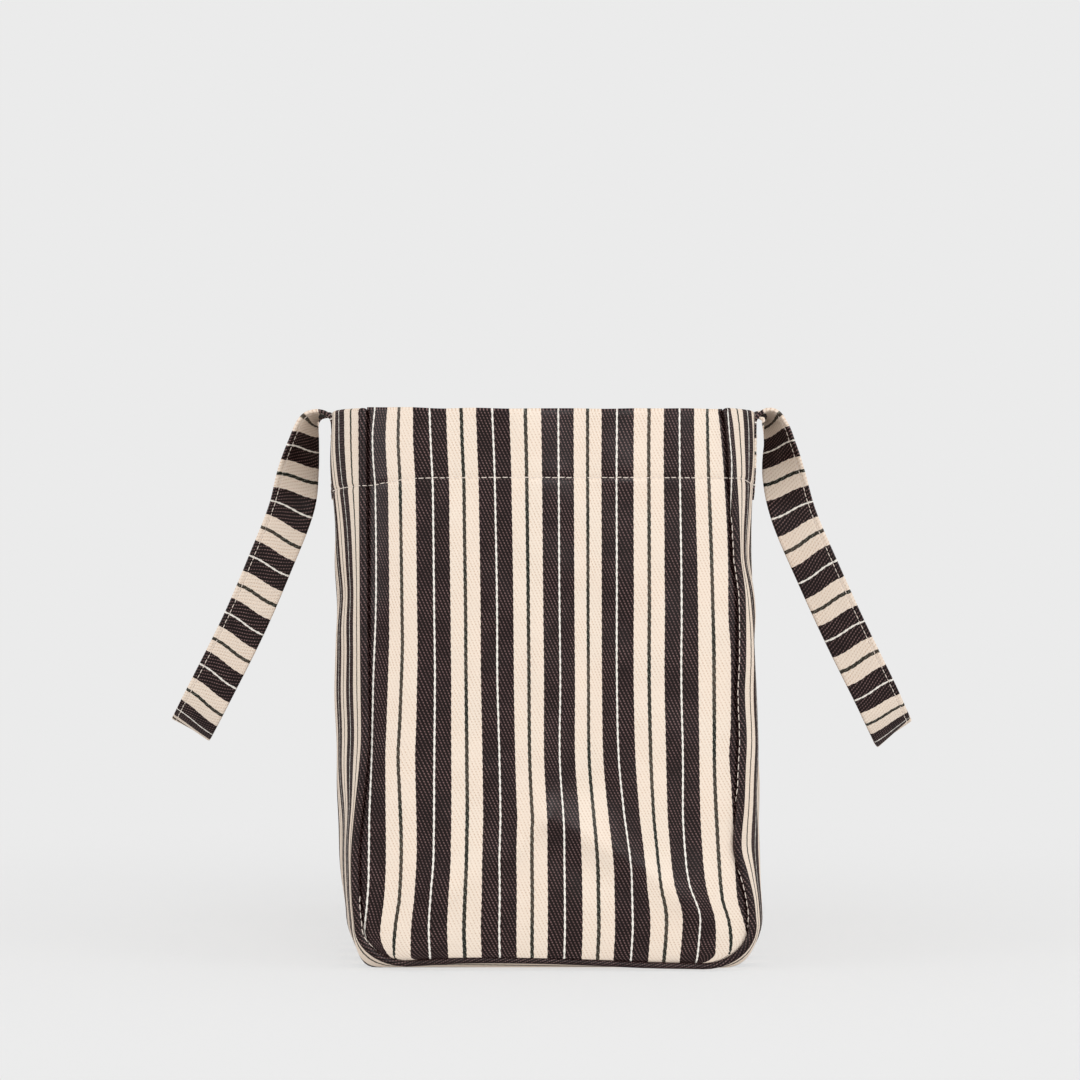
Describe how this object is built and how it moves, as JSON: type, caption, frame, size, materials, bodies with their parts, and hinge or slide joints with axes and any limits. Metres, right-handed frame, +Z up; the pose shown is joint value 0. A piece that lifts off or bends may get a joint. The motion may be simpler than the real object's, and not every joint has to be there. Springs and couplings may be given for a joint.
{
  "type": "cloth tote bag",
  "caption": "Striped cloth tote bag standing open and empty, with ribbed seams, rounded bottom corners, a hemmed mouth and flat carrying handles fallen outwards.",
  "frame": {"origin": "on the floor, under the middle of the bag", "axes": "+Z up, +X across the bag's narrow width towards the right of the end panel that faces -Y, +Y along the bag's length away from that panel"},
  "size_m": [0.4623, 0.4199, 0.3294],
  "materials": {
    "striped_cloth": "matte twill in black and cream stripes"
  },
  "bodies": {
    "root": {"body_strip": "striped_cloth", "end_panel_front": "striped_cloth", "end_panel_back": "striped_cloth", "handle_left": "striped_cloth", "handle_right": "striped_cloth"}
  },
  "joints": []
}
